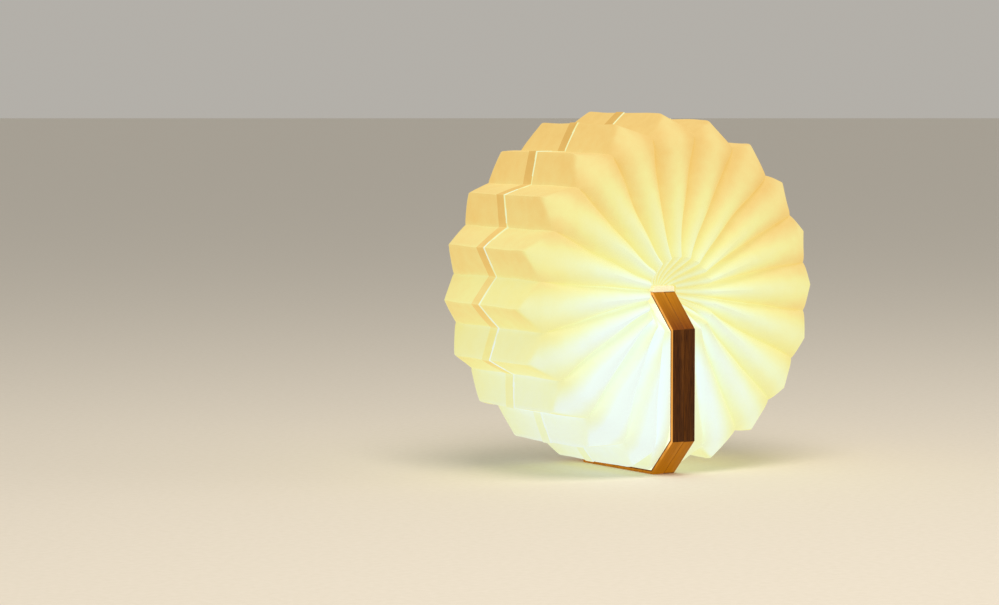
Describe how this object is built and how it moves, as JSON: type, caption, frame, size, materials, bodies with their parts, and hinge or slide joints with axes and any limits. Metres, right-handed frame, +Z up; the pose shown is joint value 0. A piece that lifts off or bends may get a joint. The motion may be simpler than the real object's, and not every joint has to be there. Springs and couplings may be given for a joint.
{
  "type": "folding book lamp",
  "caption": "Book-shaped lamp opened right round: two wooden covers back to back, a fan of pleated paper between them, standing on the covers' foot edges.",
  "frame": {"origin": "middle of the foot, between the two covers, on the surface that the lamp stands on", "axes": "+Z up; Y along the hinge, with the charging socket at +Y; the front cover is at -X and the rear cover at +X"},
  "size_m": [0.211, 0.116, 0.2135],
  "materials": {
    "walnut": "satin",
    "white_card": "matte",
    "frosted_plastic": "matte",
    "white_board": "matte",
    "led": "gloss",
    "magnet": "satin",
    "screw_steel": "satin",
    "hinge_cloth": "matte",
    "end_paper": "matte",
    "ribbon": "satin",
    "battery_foil": "satin",
    "green_board": "satin",
    "black_plastic": "matte",
    "socket_steel": "satin",
    "red_wire": "satin",
    "black_wire": "satin",
    "spine_cloth": "matte",
    "pleated_paper": "matte"
  },
  "bodies": {
    "front_cover": {"front_cover_board": "walnut", "front_inner_panel": "white_card", "front_diffuser": "frosted_plastic", "front_led_board": "white_board", "front_led_chips": "led", "front_magnets": "magnet", "front_panel_screws": "screw_steel", "front_hinge_leaf": "hinge_cloth", "front_end_sheet": "end_paper", "front_ribbon_lead": "ribbon", "battery_pack": "battery_foil", "battery_lead": "red_wire", "control_board": "green_board", "control_chips": "black_plastic", "charging_socket": "socket_steel", "lid_switch": "black_plastic", "light_lead": "black_wire"},
    "spine": {"spine_strap": "spine_cloth", "spine_stiffener": "screw_steel", "spine_ribbon_lead": "ribbon"},
    "rear_cover": {"rear_cover_board": "walnut", "rear_inner_panel": "white_card", "rear_diffuser": "frosted_plastic", "rear_led_board": "white_board", "rear_led_chips": "led", "rear_magnets": "magnet", "rear_panel_screws": "screw_steel", "rear_hinge_leaf": "hinge_cloth", "rear_end_sheet": "end_paper", "rear_ribbon_lead": "ribbon"},
    "pleat_01": {"pleat_01": "pleated_paper"},
    "pleat_02": {"pleat_02": "pleated_paper"},
    "pleat_03": {"pleat_03": "pleated_paper"},
    "pleat_04": {"pleat_04": "pleated_paper"},
    "pleat_05": {"pleat_05": "pleated_paper"},
    "pleat_06": {"pleat_06": "pleated_paper"},
    "pleat_07": {"pleat_07": "pleated_paper"},
    "pleat_08": {"pleat_08": "pleated_paper"},
    "pleat_09": {"pleat_09": "pleated_paper"},
    "pleat_10": {"pleat_10": "pleated_paper"},
    "pleat_11": {"pleat_11": "pleated_paper"},
    "pleat_12": {"pleat_12": "pleated_paper"},
    "pleat_13": {"pleat_13": "pleated_paper"},
    "pleat_14": {"pleat_14": "pleated_paper"},
    "pleat_15": {"pleat_15": "pleated_paper"},
    "pleat_16": {"pleat_16": "pleated_paper"},
    "pleat_17": {"pleat_17": "pleated_paper"},
    "pleat_18": {"pleat_18": "pleated_paper"},
    "pleat_19": {"pleat_19": "pleated_paper"}
  },
  "joints": [
    {"name": "spine_fold", "type": "hinge", "parent": "front_cover", "child": "spine", "pos_m": [-0.008, 0, 0.108], "axis": [0, -1, 0], "range_deg": [0, 180]},
    {"name": "cover_fold", "type": "hinge", "parent": "spine", "child": "rear_cover", "pos_m": [0.008, 0, 0.108], "axis": [0, -1, 0], "range_deg": [0, 180]},
    {"name": "pleat_01_turn", "type": "hinge", "parent": "spine", "child": "pleat_01", "pos_m": [-0.00333, 0, 0.108], "axis": [0, 1, 0], "range_deg": [0, 166.25], "deforming": ["pleat_01"]},
    {"name": "pleat_02_turn", "type": "hinge", "parent": "spine", "child": "pleat_02", "pos_m": [-0.00316, 0, 0.108], "axis": [0, 1, 0], "range_deg": [0, 148], "deforming": ["pleat_02"]},
    {"name": "pleat_03_turn", "type": "hinge", "parent": "spine", "child": "pleat_03", "pos_m": [-0.00312, 0, 0.108], "axis": [0, 1, 0], "range_deg": [0, 129.75], "deforming": ["pleat_03"]},
    {"name": "pleat_04_turn", "type": "hinge", "parent": "spine", "child": "pleat_04", "pos_m": [-0.00322, 0, 0.108], "axis": [0, 1, 0], "range_deg": [0, 111.5], "deforming": ["pleat_04"]},
    {"name": "pleat_05_turn", "type": "hinge", "parent": "spine", "child": "pleat_05", "pos_m": [-0.00348, 0, 0.108], "axis": [0, 1, 0], "range_deg": [0, 93.25], "deforming": ["pleat_05"]},
    {"name": "pleat_06_turn", "type": "hinge", "parent": "spine", "child": "pleat_06", "pos_m": [-0.00399, 0, 0.108], "axis": [0, 1, 0], "range_deg": [0, 75], "deforming": ["pleat_06"]},
    {"name": "pleat_07_turn", "type": "hinge", "parent": "spine", "child": "pleat_07", "pos_m": [-0.00496, 0, 0.108], "axis": [0, 1, 0], "range_deg": [0, 56.75], "deforming": ["pleat_07"]},
    {"name": "pleat_08_turn", "type": "hinge", "parent": "spine", "child": "pleat_08", "pos_m": [-0.00699, 0, 0.108], "axis": [0, 1, 0], "range_deg": [0, 38.5], "deforming": ["pleat_08"]},
    {"name": "pleat_09_turn", "type": "hinge", "parent": "spine", "child": "pleat_09", "pos_m": [-0.007, 0, 0.108], "axis": [0, 1, 0], "range_deg": [0, 20.25], "deforming": ["pleat_09"]},
    {"name": "pleat_10_turn", "type": "hinge", "parent": "spine", "child": "pleat_10", "pos_m": [-0.007, 0, 0.108], "axis": [0, 1, 0], "range_deg": [0, 2], "deforming": ["pleat_10"]},
    {"name": "pleat_11_turn", "type": "hinge", "parent": "spine", "child": "pleat_11", "pos_m": [0.007, 0, 0.108], "axis": [0, 1, 0], "range_deg": [-16.25, 0], "deforming": ["pleat_11"]},
    {"name": "pleat_12_turn", "type": "hinge", "parent": "spine", "child": "pleat_12", "pos_m": [0.007, 0, 0.108], "axis": [0, 1, 0], "range_deg": [-34.5, 0], "deforming": ["pleat_12"]},
    {"name": "pleat_13_turn", "type": "hinge", "parent": "spine", "child": "pleat_13", "pos_m": [0.00527, 0, 0.108], "axis": [0, 1, 0], "range_deg": [-52.75, 0], "deforming": ["pleat_13"]},
    {"name": "pleat_14_turn", "type": "hinge", "parent": "spine", "child": "pleat_14", "pos_m": [0.00415, 0, 0.108], "axis": [0, 1, 0], "range_deg": [-71, 0], "deforming": ["pleat_14"]},
    {"name": "pleat_15_turn", "type": "hinge", "parent": "spine", "child": "pleat_15", "pos_m": [0.00357, 0, 0.108], "axis": [0, 1, 0], "range_deg": [-89.25, 0], "deforming": ["pleat_15"]},
    {"name": "pleat_16_turn", "type": "hinge", "parent": "spine", "child": "pleat_16", "pos_m": [0.00326, 0, 0.108], "axis": [0, 1, 0], "range_deg": [-107.5, 0], "deforming": ["pleat_16"]},
    {"name": "pleat_17_turn", "type": "hinge", "parent": "spine", "child": "pleat_17", "pos_m": [0.00313, 0, 0.108], "axis": [0, 1, 0], "range_deg": [-125.75, 0], "deforming": ["pleat_17"]},
    {"name": "pleat_18_turn", "type": "hinge", "parent": "spine", "child": "pleat_18", "pos_m": [0.00314, 0, 0.108], "axis": [0, 1, 0], "range_deg": [-144, 0], "deforming": ["pleat_18"]},
    {"name": "pleat_19_turn", "type": "hinge", "parent": "spine", "child": "pleat_19", "pos_m": [0.00328, 0, 0.108], "axis": [0, 1, 0], "range_deg": [-162.25, 0], "deforming": ["pleat_19"]}
  ],
  "couplings": [
    {"joint": "spine_fold", "follows": "cover_fold", "ratio": 1},
    {"joint": "pleat_01_turn", "follows": "cover_fold", "ratio": 0.92361},
    {"joint": "pleat_02_turn", "follows": "cover_fold", "ratio": 0.82222},
    {"joint": "pleat_03_turn", "follows": "cover_fold", "ratio": 0.72083},
    {"joint": "pleat_04_turn", "follows": "cover_fold", "ratio": 0.61944},
    {"joint": "pleat_05_turn", "follows": "cover_fold", "ratio": 0.51806},
    {"joint": "pleat_06_turn", "follows": "cover_fold", "ratio": 0.41667},
    {"joint": "pleat_07_turn", "follows": "cover_fold", "ratio": 0.31528},
    {"joint": "pleat_08_turn", "follows": "cover_fold", "ratio": 0.21389},
    {"joint": "pleat_09_turn", "follows": "cover_fold", "ratio": 0.1125},
    {"joint": "pleat_10_turn", "follows": "cover_fold", "ratio": 0.011111},
    {"joint": "pleat_11_turn", "follows": "cover_fold", "ratio": -0.090278},
    {"joint": "pleat_12_turn", "follows": "cover_fold", "ratio": -0.19167},
    {"joint": "pleat_13_turn", "follows": "cover_fold", "ratio": -0.29306},
    {"joint": "pleat_14_turn", "follows": "cover_fold", "ratio": -0.39444},
    {"joint": "pleat_15_turn", "follows": "cover_fold", "ratio": -0.49583},
    {"joint": "pleat_16_turn", "follows": "cover_fold", "ratio": -0.59722},
    {"joint": "pleat_17_turn", "follows": "cover_fold", "ratio": -0.69861},
    {"joint": "pleat_18_turn", "follows": "cover_fold", "ratio": -0.8},
    {"joint": "pleat_19_turn", "follows": "cover_fold", "ratio": -0.90139}
  ]
}
